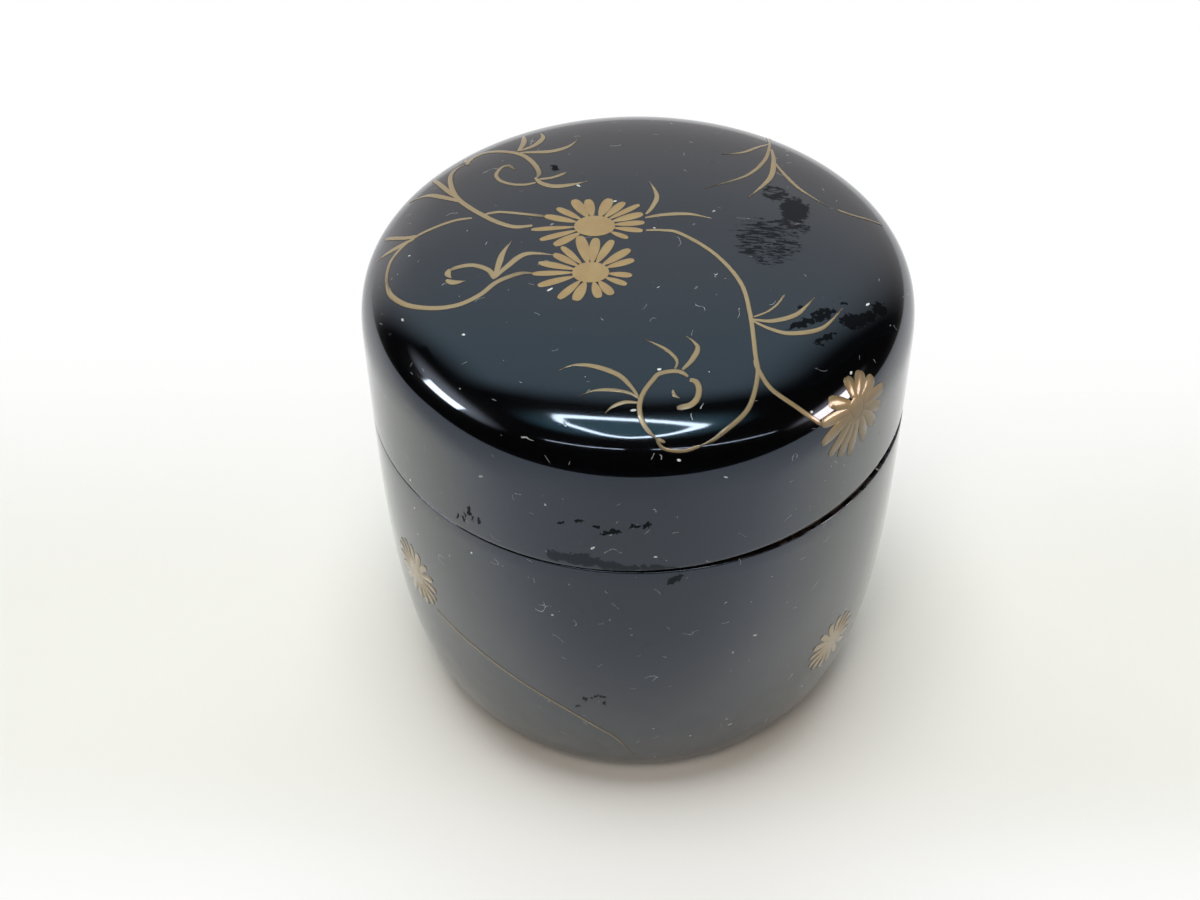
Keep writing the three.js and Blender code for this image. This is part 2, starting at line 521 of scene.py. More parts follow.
def belly_outline(sizes, foot, radius, bottom, spans):
    """A cup's belly, from its foot radius out and up to its full radius at the seam."""
    curve = lame_quarter(radius - foot, sizes.seam - bottom, sizes.belly_reach, sizes.belly_rise, spans)
    return [(foot + r, sizes.seam - z) for r, z in reversed(curve)]


def inset(outline, depth):
    """An outline moved to the right of its direction by a depth, with mitred corners."""
    moved = []
    for index, here in enumerate(outline):
        before = outline[index - 1] if index else (2 * here[0] - outline[1][0], outline[1][1])
        after = outline[index + 1] if index + 1 < len(outline) else None
        first = right_of(before, here)
        second = right_of(here, after) if after else first
        mitre = (first + second) / (1 + first.dot(second))
        moved.append((here[0] + mitre.x * depth, here[1] + mitre.y * depth))
    return moved


def right_of(start, end):
    """The direction to the right of a line."""
    along = Vector((end[0] - start[0], end[1] - start[1])).normalized()
    return Vector((along.y, -along.x))


def rounded(before, corner, after, radius):
    """Points of a small round at a corner of an outline."""
    corner = Vector(corner)
    start = corner + (Vector(before) - corner).normalized() * radius
    end = corner + (Vector(after) - corner).normalized() * radius
    points = []
    for step in range(CORNER_STEPS + 1):
        share = step / CORNER_STEPS
        point = start * (1 - share) ** 2 + corner * 2 * share * (1 - share) + end * share ** 2
        points.append((point.x, point.y))
    return points


def turned(name, outline, segments):
    """A piece turned about Z from a closed outline, or from one that starts and ends on the axis."""
    places = []
    rings = []
    for r, z in outline:
        count = segments if r > NEAR_AXIS else 1
        rings.append(range(len(places), len(places) + count))
        for step in range(count):
            angle = step / segments * math.tau
            places.append((r * math.sin(angle), -r * math.cos(angle), z))
    pairs = list(zip(rings, rings[1:]))
    if len(rings[0]) > 1:
        pairs.append((rings[-1], rings[0]))
    faces = []
    for first, second in pairs:
        for step in range(segments):
            follow = (step + 1) % segments
            around = [(first, step), (first, follow), (second, follow), (second, step)]
            faces.append(tuple(dict.fromkeys(ring[place % len(ring)] for ring, place in around)))
    mesh = bpy.data.meshes.new(name)
    mesh.from_pydata(places, [], [face for face in faces if len(face) > 2])
    return placed(name, mesh)


def placed(name, mesh):
    """An object for a mesh, with its faces turned outwards and shaded smooth up to a sharp angle."""
    shell = bmesh.new()
    shell.from_mesh(mesh)
    bmesh.ops.recalc_face_normals(shell, faces=shell.faces)
    shell.to_mesh(mesh)
    shell.free()
    mesh.shade_smooth()
    mesh.set_sharp_from_angle(angle=SMOOTH_ANGLE)
    return linked(name, mesh)


def linked(name, data):
    """An object for a mesh, a lamp or a camera, in the scene."""
    made = bpy.data.objects.new(name, data)
    bpy.context.scene.collection.objects.link(made)
    return made


def dress(piece, material, body, stands_for=()):
    """Gives a piece its material and the body that it rides on, and hides the solids that it stands for."""
    piece.data.materials.append(material)
    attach(piece, body)
    if stands_for:
        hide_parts(*stands_for)


class Face:
    """A turned face that ornament is painted on, read along its outline or by height."""

    def __init__(self, outline):
        self.outline = outline
        self.along = [0.0]
        for start, end in zip(outline, outline[1:]):
            self.along.append(self.along[-1] + math.dist(start, end))
        self.heights = [z for _, z in outline]

    def _read(self, scale, value):
        index = min(max(bisect.bisect_right(scale, value), 1), len(scale) - 1)
        share = (value - scale[index - 1]) / (scale[index] - scale[index - 1])
        start = Vector(self.outline[index - 1])
        end = Vector(self.outline[index])
        return start.lerp(end, share), (end - start).normalized()

    def from_crown(self, x, y):
        """A place and its normal on the lid, by distances from the middle of the crown along its face."""
        distance = math.hypot(x, y)
        (r, z), way = self._read(self.along, distance)
        across = Vector((x, y)) / distance if distance else Vector((0.0, 0.0))
        return Vector((*across * r, z)), Vector((*across * -way.y, way.x))

    def to_crown(self, spot):
        """The distances from the middle of the crown, in millimetres, of a place on the lid."""
        r = math.hypot(spot.x, spot.y)
        distance = self._distance(round(r, 7), round(spot.z, 7))
        return Vector((spot.x, spot.y, 0.0)) * (distance / MM / max(r, NEAR_AXIS))

    @functools.cache
    def _distance(self, r, z):
        nearest = min(range(len(self.outline)), key=lambda index: math.dist(self.outline[index], (r, z)))
        return self.along[nearest]

    def to_front(self, spot):
        """The distance round from the front and the height, in millimetres, of a place on the body."""
        return Vector((math.atan2(spot.x, -spot.y) * self.outline[-1][0], spot.z, 0.0)) / MM

    def from_front(self, x, height):
        """A place and its normal on the body, by distance round from the front and by height."""
        (r, z), way = self._read(self.heights, height)
        angle = x / self.outline[-1][0]
        across = Vector((math.sin(angle), -math.cos(angle)))
        return Vector((*across * r, z)), Vector((*across * way.y, -way.x))


def smooth_line(points):
    """Close points on a smooth line through a stroke's points."""
    ends = [points[0], *points, points[-1]]
    line = []
    for before, start, end, after in zip(ends, ends[1:], ends[2:], ends[3:]):
        count = max(2, math.ceil(math.dist(start, end) / STROKE_STEP))
        for step in range(count):
            t = step / count
            line.append(tuple(
                0.5 * (2 * b + (c - a) * t + (2 * a - 5 * b + 4 * c - d) * t * t
                       + (3 * b - a - 3 * c + d) * t ** 3)
                for a, b, c, d in zip(before, start, end, after)
            ))
    return [*line, points[-1]]


def stem_width(share):
    """A stem keeps its width and thins at both ends."""
    return min(1.0, STEM_START + share * 6, TIP_SHARE + (1 - share) * 9)


def leaf_width(share):
    """A leaf swells towards its middle and runs out in a point."""
    swell = math.sin(math.pi * min(share * 1.05, 1.0))
    return max(TIP_SHARE, (LEAF_START + (1 - LEAF_START) * swell) * (1 - share ** 5))


def petal_width(share, root):
    """A petal is narrow at the flower's eye, widest past its middle, and blunt at the tip."""
    if share < PETAL_WIDEST:
        return root + (1 - root) * math.sin(share / PETAL_WIDEST * math.pi / 2)
    return math.sqrt(1 - ((share - PETAL_WIDEST) / PETAL_TIP) ** 2)


def bud_width(share):
    """A curled end is thick all along, and blunt."""
    return min(1.0, BUD_START + share * 3, BUD_END + (1 - share) * 4)


def join_rings(shell, rings):
    """Makes the faces between rings of corners. A ring of one corner is a peak."""
    for first, second in zip(rings, rings[1:]):
        for step in range(len(first)):
            follow = (step + 1) % len(first)
            corners = [first[step], first[follow], second[follow % len(second)], second[step % len(second)]]
            shell.faces.new(list(dict.fromkeys(corners)))


def lay_stroke(shell, place, points, stroke, sizes):
    """Lays a closed raised stroke on a face: gold, with a narrow dull band of painted shade at each side."""
    width, shape, thick, shade_edging = stroke
    gilded = shell.verts.layers.float["gilded"]
    line = smooth_line(points)
    sections = []
    for index, (x, y) in enumerate(line):
        before = line[max(index - 1, 0)]
        after = line[min(index + 1, len(line) - 1)]
        way = Vector((after[0] - before[0], after[1] - before[1])).normalized()
        share = index / (len(line) - 1)
        wide = width * shape(share)
        # The band outside the gold is painted shade along the stroke's edges
        margin = 2 * sizes.outline * shade_edging * shape(share)
        section = []
        for side, outside, lift in STROKE_SECTION:
            across = side * (wide + margin if outside else wide)
            spot, normal = place(x * MM - way.y * across, y * MM + way.x * across)
            corner = shell.verts.new(spot + normal * lift * sizes.relief)
            corner[gilded] = 0.0 if outside else thick * min(1.0, START_GOLD - share * GOLD_LOSS)
            section.append(corner)
        sections.append(section)
    join_rings(shell, sections)
    shell.faces.new(sections[0])
    shell.faces.new(sections[-1])


def lay_disc(shell, place, middle, half, thick, relief):
    """Lays the low domed eye of a flower."""
    gilded = shell.verts.layers.float["gilded"]
    rings = []
    for share, lift in DISC_SECTION:
        count = DISC_CORNERS if share else 1
        ring = []
        for step in range(count):
            angle = step / count * math.tau
            x = middle[0] + half[0] * share * math.cos(angle)
            y = middle[1] + half[1] * share * math.sin(angle)
            spot, normal = place(x * MM, y * MM)
            corner = shell.verts.new(spot + normal * lift * relief)
            corner[gilded] = thick
            ring.append(corner)
        rings.append(ring)
    shell.faces.new(rings[0])
    join_rings(shell, rings)


def lay_flower(shell, place, flower, sizes):
    """Lays a chrysanthemum: the eye, and a petal from its edge to each tip."""
    eye, half, thick, petals = flower
    gold = thick * FLOWER_GOLD
    lay_disc(shell, place, eye, half, gold, sizes.relief)
    shape = functools.partial(petal_width, root=NARROW_ROOT + 1 - thick)
    for *tip, width in petals:
        lean = Vector(((tip[0] - eye[0]) / half[0], (tip[1] - eye[1]) / half[1])).normalized()
        root = (eye[0] + half[0] * PETAL_ROOT * lean.x, eye[1] + half[1] * PETAL_ROOT * lean.y)
        middle = tuple((a + b) / 2 for a, b in zip(root, tip))
        lay_stroke(shell, place, (root, middle, tip), (width * MM, shape, gold, thick ** 2), sizes)


def round_flower(middle, half, reach, count, turn):
    """An open flower with even petals, drawn by hand and rubbed: each petal's width differs a little."""
    petals = []
    for step in range(count):
        angle = math.radians(turn) + math.tau * step / count
        x = middle[0] + reach * math.cos(angle)
        y = middle[1] + reach * math.sin(angle)
        petals.append((x, y, ROUND_PETAL + PETAL_DIFFERS * math.sin(step * PETAL_BEAT)))
    return middle, (half, half), ROUND_GOLD, petals


def painted(name, place, sizes, flowers=(), strokes=(), breadth=1.0):
    """One painted piece: flowers and strokes on a face, the strokes with a finer or a fuller brush.

    A kind of stroke has its width, its shape, how thick its gold is, and its share of the dark outline of
    painted shade.
    """
    kinds = {
        "stem": (sizes.stem, stem_width, 0.92, 1.0),
        "leaf": (sizes.leaf, leaf_width, 0.92, 1.0),
        "slim": (sizes.slim, leaf_width, 0.76, 0.6),
        "fine": (sizes.fine, stem_width, 0.76, 0.5),
        "hair": (sizes.hair, stem_width, 0.80, 0.0),
        "bud": (sizes.bud, bud_width, 0.93, 1.0),
    }
    shell = bmesh.new()
    shell.verts.layers.float.new("gilded")
    for flower in flowers:
        lay_flower(shell, place, flower, sizes)
    for kind, points in strokes:
        width, *form = kinds[kind]
        lay_stroke(shell, place, points, (width * breadth, *form), sizes)
    mesh = bpy.data.meshes.new(name)
    shell.to_mesh(mesh)
    shell.free()
    return placed(name, mesh)


# Ornament of the lid, in millimetres along its face from the middle of the crown: right, and back.
# A flower has its eye's middle and half sizes, how thick its gold is, then each petal's tip and width
LID_FLOWERS = {
    "lid_flower_upper": ((-5.0, 1.35), (2.4, 1.95), 1.0, (
        (-12.4, 0.9, 0.6), (-10.9, 3.5, 0.9), (-9.5, 5.0, 0.8), (-7.6, 6.6, 1.15), (-5.9, 6.6, 1.05),
        (-3.3, 6.7, 1.2), (-1.6, 6.0, 0.9), (0.2, 5.5, 0.65), (0.6, 3.7, 1.0), (0.8, 2.0, 0.8),
        (0.6, 0.4, 0.75), (-1.1, -1.0, 0.6), (-9.6, -2.2, 1.0), (-11.3, -1.1, 0.75),
    )),
    "lid_flower_lower": ((-5.3, -7.2), (2.1, 1.8), 1.0, (
        (-11.9, -7.2, 0.7), (-11.2, -5.3, 0.85), (-9.6, -3.8, 0.85), (-8.7, -2.5, 0.7), (-6.7, -0.6, 1.2),
        (-4.8, -1.0, 1.05), (-2.9, -1.4, 0.95), (-0.9, -3.1, 1.0), (-0.4, -5.0, 0.85), (-0.6, -7.8, 0.75),
        (-1.2, -9.4, 0.7), (-2.8, -11.1, 0.95), (-4.3, -11.6, 0.9), (-6.9, -12.0, 1.1), (-8.8, -11.6, 0.85),
        (-11.2, -9.3, 0.85),
    )),
    "lid_flower_side": ((25.9, -23.4), (1.3, 1.2), 0.528, (
        (22.4, -28.9, 1.5), (25.2, -29.9, 1.6), (27.5, -29.5, 1.6), (29.8, -28.6, 1.6), (31.5, -25.8, 1.6),
        (32.1, -23.3, 1.5), (31.3, -21.1, 1.5), (30.0, -19.1, 1.6), (27.2, -19.1, 1.7), (25.2, -19.2, 1.6),
        (23.4, -20.6, 1.5), (21.4, -24.1, 1.6), (21.1, -26.8, 1.4),
    )),
}
# Breadth of the brush, where it isn't that of a plain stroke
VINE_BRUSH = {"lid_vine_back_left": 1.15, "lid_vine_left": 1.12, "lid_vine_right": 0.84}
LID_VINES = {
    "lid_vine_back_left": (
        ("stem", ((-12.3, 1.7), (-14.3, 1.6), (-16.1, 2.5), (-17.9, 4.0), (-20.1, 6.4), (-21.8, 8.9),
                  (-22.8, 11.8), (-23.3, 14.9), (-22.8, 17.0), (-21.3, 18.0))),
        ("stem", ((-21.3, 18.0), (-20.9, 19.4), (-19.4, 20.3), (-16.8, 19.4), (-14.4, 17.7), (-12.8, 15.2),
                  (-12.0, 12.8), (-12.3, 11.4))),
        ("leaf", ((-12.4, 11.7), (-11.6, 10.4), (-10.0, 9.6), (-8.0, 9.8), (-6.0, 10.5))),
        ("fine", ((-11.9, 11.3), (-10.2, 11.6), (-8.6, 12.6))),
        ("fine", ((-12.3, 10.6), (-13.5, 10.3), (-15.2, 10.6), (-16.7, 11.7), (-17.3, 13.2), (-16.8, 14.8),
                  (-15.9, 15.2), (-15.0, 13.9))),
        ("leaf", ((-14.9, 18.8), (-14.4, 21.4), (-14.7, 24.6))),
        ("leaf", ((-14.7, 19.0), (-13.0, 20.0), (-12.0, 22.2), (-12.5, 24.4))),
        ("leaf", ((-14.6, 18.4), (-12.8, 18.1), (-10.6, 18.0), (-8.6, 19.0), (-7.4, 21.0))),
        ("fine", ((-21.2, 17.4), (-21.6, 18.6), (-22.0, 20.0))),
        ("stem", ((-22.1, 9.4), (-23.5, 11.6), (-24.8, 14.1), (-25.8, 16.0))),
        ("leaf", ((-21.3, 7.9), (-23.6, 9.7), (-26.0, 11.4), (-28.5, 11.6))),
        ("fine", ((-18.2, 4.5), (-16.5, 4.8), (-13.5, 4.1), (-10.8, 3.4))),
    ),
    "lid_vine_left": (
        ("fine", ((-19.6, 4.1), (-21.8, 4.0), (-24.3, 3.2), (-26.4, 2.2), (-28.1, 0.8), (-29.4, -1.4),
                  (-29.6, -4.4), (-28.9, -6.8))),
        ("stem", ((-29.5, -5.2), (-28.6, -7.5), (-26.3, -9.9), (-23.1, -11.3), (-20.2, -11.4), (-17.8, -10.2),
                  (-16.2, -8.5), (-14.8, -7.6), (-13.1, -7.0), (-11.4, -7.2))),
        ("stem", ((-26.3, 2.3), (-28.0, 2.7), (-31.0, 4.6))),
        ("leaf", ((-26.5, 1.9), (-29.0, 1.1), (-31.7, 0.5))),
        ("stem", ((-16.2, -7.7), (-17.0, -6.1), (-18.8, -5.0), (-20.6, -5.0), (-21.7, -5.5))),
        ("leaf", ((-21.6, -5.2), (-21.8, -6.0), (-21.3, -6.8))),
        ("leaf", ((-21.9, -7.0), (-21.0, -7.6), (-19.6, -7.6))),
        ("leaf", ((-16.2, -7.6), (-15.9, -5.4), (-15.5, -3.2), (-14.6, -1.1))),
        ("leaf", ((-16.2, -7.5), (-14.9, -5.7), (-12.8, -3.6), (-9.4, -4.0))),
    ),
    "lid_vine_right": (
        ("stem", ((1.0, 0.5), (3.0, 0.5), (5.0, -0.1), (8.8, -3.7), (11.6, -8.6), (12.5, -13.5),
                  (12.9, -19.5), (13.1, -22.5), (12.0, -26.8), (9.0, -30.0), (7.75, -30.9), (6.45, -31.6))),
        ("fine", ((6.9, -31.35), (5.4, -31.95), (4.2, -32.05), (3.1, -31.9), (2.5, -31.5), (2.0, -30.7))),
        ("stem", ((5.5, -23.3), (4.9, -22.8), (4.0, -22.6), (2.4, -23.0), (1.7, -23.85), (0.8, -25.25),
                  (0.35, -26.5), (0.26, -27.5), (0.42, -28.5), (0.87, -29.5), (1.46, -30.25), (2.1, -30.8))),
        ("fine", ((2.2, -30.8), (2.6, -31.0), (3.1, -31.2))),
        ("bud", ((5.7, -23.7), (6.36, -23.9), (6.68, -24.8), (6.48, -26.0), (5.83, -26.8), (5.05, -27.1),
                 (4.3, -27.3))),
        ("slim", ((3.85, -25.1), (4.0, -25.75), (4.6, -26.1))),
        ("slim", ((4.1, -22.3), (4.3, -21.1), (3.0, -19.5), (0.7, -18.1))),
        ("leaf", ((4.9, -22.4), (6.0, -20.9), (6.6, -19.1), (5.4, -17.6))),
        ("leaf", ((0.1, -26.0), (-0.6, -24.8), (-2.0, -23.2), (-4.5, -22.0), (-6.8, -21.7), (-8.6, -22.4))),
        ("slim", ((0.15, -26.2), (-0.6, -25.65), (-1.65, -25.3), (-3.2, -25.1), (-4.75, -25.2),
                  (-6.3, -25.85))),
        ("slim", ((0.2, -26.75), (-1.1, -26.65), (-2.15, -26.95), (-2.95, -27.45), (-3.45, -28.0))),
        ("leaf", ((12.8, -14.6), (15.0, -14.6), (17.8, -13.2), (20.0, -10.2))),
        ("leaf", ((12.8, -14.8), (14.6, -15.8), (17.0, -16.2), (20.6, -14.8), (23.2, -11.2))),
        ("hair", ((12.9, -14.2), (14.4, -13.3), (15.6, -12.0), (16.6, -10.2))),
        ("stem", ((12.8, -20.5), (13.3, -22.0), (14.8, -24.2), (18.4, -26.0), (21.4, -26.9))),
        ("leaf", ((1.0, 3.6), (1.8, 5.2), (2.3, 7.4), (1.4, 10.4))),
        ("leaf", ((0.9, 2.9), (3.0, 3.5), (6.0, 3.7), (8.8, 2.9))),
    ),
    "lid_spray_back_right": (
        ("slim", ((16.5, 21.6), (15.0, 20.0), (13.0, 18.0), (10.4, 17.1))),
        ("slim", ((16.7, 24.0), (16.6, 21.0), (15.6, 16.3), (13.0, 12.1), (8.0, 9.0))),
        ("leaf", ((16.8, 20.0), (16.8, 16.4), (16.0, 12.0), (13.2, 7.4))),
        ("slim", ((16.8, 16.8), (17.6, 14.2), (19.6, 10.4), (22.8, 7.3))),
        ("hair", ((24.0, 7.0), (26.0, 6.6), (30.0, 7.0))),
        ("stem", ((16.7, 24.0), (17.4, 29.0), (16.0, 34.0), (12.0, 38.5), (6.0, 41.0), (0.0, 40.5))),
        ("leaf", ((16.0, 34.0), (19.0, 36.0), (22.0, 35.0), (24.0, 32.0))),
        ("leaf", ((12.0, 38.5), (10.0, 35.0), (6.0, 33.0), (2.0, 33.5))),
    ),
}

# Ornament of the body, in millimetres: round from the front, and up
BODY_FLOWERS = {
    "body_flower_left": round_flower((-32.6, 29.6), 1.8, 4.7, 16, 4),
    "body_flower_right": round_flower((29.0, 19.5), 1.7, 4.6, 15, 9),
    "body_flower_back_left": round_flower((-76.0, 24.0), 1.9, 5.2, 16, 0),
    "body_flower_back_right": round_flower((80.0, 30.0), 1.9, 5.2, 16, 6),
}
BODY_VINES = {
    "body_vine_front": (
        ("hair", ((-28.5, 26.2), (-25.0, 25.2), (-20.0, 23.8), (-15.0, 21.8), (-10.0, 19.3), (-5.5, 16.0),
                  (-2.5, 13.0), (-0.2, 8.0))),
    ),
    "body_vine_back": (
        ("stem", ((-52.0, 34.5), (-58.0, 32.0), (-65.0, 26.5), (-71.5, 24.0))),
        ("leaf", ((-55.0, 33.5), (-58.0, 38.0), (-62.0, 40.0), (-66.0, 39.0))),
        ("leaf", ((-60.0, 30.8), (-60.5, 26.0), (-58.0, 21.5), (-54.0, 19.0))),
        ("stem", ((52.0, 27.0), (58.0, 31.5), (66.0, 33.0), (75.2, 30.5))),
        ("leaf", ((55.0, 29.5), (56.0, 34.0), (54.5, 38.0), (52.0, 40.0))),
        ("leaf", ((58.0, 31.5), (61.0, 27.0), (65.0, 24.0), (69.0, 23.0))),
        ("stem", ((-80.7, 25.0), (-88.0, 29.0), (-96.0, 34.0), (-104.0, 34.0), (-109.0, 30.0), (-107.0, 25.5),
                  (-102.5, 26.5))),
    ),
}

# Dull places in the same millimetres as the ornament: middle, half length, half width, the turn in
# degrees, and how far the gloss is gone
LID_SMEARED = (
    (15.1, -1.0, 3.9, 4.4, 0, 0.95), (18.7, 5.7, 1.7, 2.5, 0, 1.7), (16.4, 8.8, 1.8, 1.6, 0, 1.0),
    (18.2, 2.3, 2.2, 1.9, 0, 1.05),
)
LID_RUBBED = (
    (24.4, -12.9, 1.7, 1.2, 20, 0.85), (26.3, -11.5, 1.5, 0.8, 35, 0.8), (27.9, -9.8, 1.1, 1.0, 45, 0.85),
    (18.5, -14.4, 2.4, 0.5, 34, 0.8), (20.8, -12.7, 1.8, 0.8, 32, 0.75), (18.3, -12.1, 0.4, 0.3, 0, 1.0),
    (23.4, -10.4, 0.35, 0.3, 0, 1.0), (20.9, -16.3, 1.6, 0.4, 38, 0.9), (-10.1, 13.7, 0.5, 0.6, 0, 1.2),
    (-29.6, -37.9, 0.5, 0.4, 20, 1.0), (-28.7, -38.5, 0.5, 0.4, 40, 1.0), (-26.4, -37.8, 0.7, 0.35, 50, 1.0),
    (-26.4, -38.9, 0.6, 0.4, 20, 1.0), (-25.4, -39.5, 0.6, 0.3, 30, 1.0), (-27.6, -38.2, 0.4, 0.3, 0, 1.0),
    (-10.7, -41.3, 0.6, 0.25, 0, 0.9), (-7.9, -41.4, 0.7, 0.25, 0, 0.9), (-5.6, -42.3, 0.8, 0.35, -15, 0.9),
    (-3.7, -43.3, 1.6, 0.4, 5, 0.95), (-0.3, -42.4, 0.9, 0.3, 10, 0.9), (1.4, -42.1, 0.7, 0.35, 20, 0.9),
)
LID_FADED = (
    (-13.3, -46.6, 1.6, 0.9, -15, 0.95), (-9.0, -47.6, 3.6, 1.1, -12, 0.95),
    (-4.6, -48.7, 2.2, 0.8, -10, 0.95), (0.5, -49.4, 6.5, 0.6, 0, 0.95),
)
BODY_RUBBED = (
    (-7.4, 20.1, 0.25, 0.3, 0, 1.0), (-6.4, 21.7, 0.3, 0.35, 0, 1.0), (-5.6, 22.4, 0.3, 0.3, 0, 1.0),
    (-4.9, 22.9, 0.3, 0.3, 0, 1.0), (-4.2, 22.6, 0.3, 0.3, 0, 1.0), (-4.0, 21.5, 0.25, 0.4, 0, 1.0),
    (4.3, 44.8, 1.2, 0.55, 42, 1.0),
)


def keep_chart(piece, name, read):
    """Keeps on each point of a piece its place in the ornament's millimetres."""
    kept = piece.data.attributes.new(name, "FLOAT_VECTOR", "POINT")
    for point, value in zip(piece.data.vertices, kept.data):
        value.vector = read(point.co)


def mark_worn(piece, sizes):
    """Keeps on each point of a piece whether it is on the worn edge at the seam."""
    kept = piece.data.attributes.new("worn", "FLOAT", "POINT")
    for point, value in zip(piece.data.vertices, kept.data):
        outer = math.hypot(point.co.x, point.co.y) > sizes.radius - sizes.edge * 1.2
        on_edge = outer and abs(point.co.z - sizes.seam) < sizes.edge
        value.value = edge_wear(point.co) if on_edge else 0.0


def edge_wear(spot):
    """How far the seam is worn: most at the right, nothing at the left."""
    middle, spread = math.radians(72), math.radians(56)
    return math.exp(-((math.atan2(spot.x, -spot.y) - middle) / spread) ** 2)


def lose_edge(piece, sizes):
    """Takes lacquer off the lid's lower edge at the right, so that the ground coat shows."""
    fade = 7.0 * MM
    for point in piece.data.vertices:
        up = min(max((point.co.z - sizes.seam) / fade, 0.0), 1.0)
        point.co.z += sizes.edge_loss * edge_wear(point.co) * (1 - up) ** 2


def lid_face(sizes):
    """The lid's outer face."""
    return Face(lid_outline(sizes, sizes.radius, sizes.height, FINE_SPANS))


def body_face(sizes):
    """The body's outer face."""
    return Face(belly_outline(sizes, sizes.foot_radius, sizes.radius, sizes.foot_height, FINE_SPANS))


def paint_ornament(context, place, body, flowers, vines):
    """Paints each flower and each vine of a body as a piece of its own."""
    sizes = context.scene.tea_box_sizes
    gold = shared("gold_powder", gold_powder, context.scene.tea_box_colours)
    for name, flower in flowers.items():
        dress(painted(name, place, sizes, flowers=[flower]), gold, body)
    for name, strokes in vines.items():
        breadth = VINE_BRUSH.get(name, 1.0)
        dress(painted(name, place, sizes, strokes=strokes, breadth=breadth), gold, body)


class TEABOX_OT_lid_lacquer(bpy.types.Operator):
    """Turn the lid's black lacquer, with its worn lower edge"""

    bl_idname = "teabox.lid_lacquer"
    bl_label = "Lid Lacquer"

    def execute(self, context):
        sizes = context.scene.tea_box_sizes
        face = lid_face(sizes)
        coarse = lid_outline(sizes, sizes.radius, sizes.height, HIDDEN_SPANS)
        hidden = inset(coarse, sizes.lacquer)
        lip = (sizes.mouth + sizes.lining, sizes.seam)
        edge = rounded(face.outline[-2], face.outline[-1], lip, sizes.edge)
        back = [(lip[0], lip[1] + sizes.lacquer), (hidden[-1][0], lip[1] + sizes.lacquer)]
        outline = [*face.outline[:-1], *edge, lip, *back, *reversed(hidden[:-1])]
        piece = turned("lid_black_lacquer", outline, sizes.segments)
        mark_worn(piece, sizes)
        keep_chart(piece, "lid_chart", face.to_crown)
        lose_edge(piece, sizes)
        lacquer = shared("polished_black", black_lacquer, context.scene.tea_box_colours)
        dress(piece, lacquer, "lid", ["lid_lacquer"])
        return {"FINISHED"}


class TEABOX_OT_body_lacquer(bpy.types.Operator):
    """Turn the body's black lacquer: the belly with its ledge, and the base with its foot ring"""

    bl_idname = "teabox.body_lacquer"
    bl_label = "Body Lacquer"

    def execute(self, context):
        sizes = context.scene.tea_box_sizes
        lacquer = shared("polished_black", black_lacquer, context.scene.tea_box_colours)
        face = body_face(sizes)
        ledge = (sizes.rim_outside - sizes.lining, sizes.seam)
        coarse = belly_outline(sizes, sizes.foot_radius, sizes.radius, sizes.foot_height, HIDDEN_SPANS)
        hidden = [(r - sizes.lacquer, max(z, sizes.foot_height + sizes.lacquer)) for r, z in coarse[:-1]]
        below = sizes.seam - sizes.lacquer
        edge = rounded(face.outline[-2], face.outline[-1], ledge, sizes.edge)
        back = [(ledge[0], below), (sizes.radius - sizes.lacquer, below)]
        outline = [*face.outline[:-1], *edge, ledge, *back, *reversed(hidden)]
        belly = turned("body_black_lacquer", outline, sizes.segments)
        mark_worn(belly, sizes)
        keep_chart(belly, "body_chart", face.to_front)
        dress(belly, lacquer, "body", ["body_lacquer"])

        ring = sizes.foot_radius - sizes.foot_ring
        under = [(0.0, sizes.foot_recess), (ring, sizes.foot_recess), (ring, 0.0), (sizes.foot_radius, 0.0),
                 (sizes.foot_radius, sizes.foot_height)]
        foot = [under[0], under[1]]
        foot += rounded(under[1], under[2], under[3], sizes.edge)
        foot += rounded(under[2], under[3], under[4], sizes.edge)
        foot += [under[4], (sizes.foot_radius - sizes.lacquer, sizes.foot_height + sizes.lacquer)]
        foot += [(0.0, sizes.foot_height + sizes.lacquer)]
        base = turned("base_black_lacquer", foot, sizes.segments)
        dress(base, lacquer, "body", ["base_lacquer"])
        return {"FINISHED"}


class TEABOX_OT_linings(bpy.types.Operator):
    """Turn the lacquer linings: the lid's hollow, and the body's hollow with its standing rim"""

    bl_idname = "teabox.linings"
    bl_label = "Linings"

    def execute(self, context):
        sizes = context.scene.tea_box_sizes
        lining = shared("brushed_black", lining_lacquer, context.scene.tea_box_colours)
        hollow = lid_outline(sizes, sizes.mouth, sizes.ceiling, FINE_SPANS)
        back = inset(hollow, -sizes.lining)
        lid = turned("lid_lining_lacquer", [*hollow, *reversed(back)], sizes.segments)
        dress(lid, lining, "lid", ["lid_lining"])

        inside = sizes.rim_outside - sizes.rim_wall
        floor_radius = inside * sizes.foot_radius / sizes.radius
        cup = [(0.0, sizes.floor), *belly_outline(sizes, floor_radius, inside, sizes.floor, FINE_SPANS)]
        back = inset([*cup, (inside, sizes.rim_top)], sizes.lining)
        rim_inner, rim_outer = (inside, sizes.rim_top), (sizes.rim_outside, sizes.rim_top)
        foot = (sizes.rim_outside, sizes.seam)
        rim_round = 3 * sizes.edge
        face = [*cup, *rounded(cup[-1], rim_inner, rim_outer, rim_round)]
        face += [*rounded(rim_inner, rim_outer, foot, rim_round), foot]
        under = sizes.rim_top - sizes.lining
        behind = [(foot[0] - sizes.lining, foot[1]), (foot[0] - sizes.lining, under), (back[-1][0], under)]
        body = turned("body_lining_lacquer", [*face, *behind, *reversed(back[:-1])], sizes.segments)
        dress(body, lining, "body", ["body_lining"])
        return {"FINISHED"}


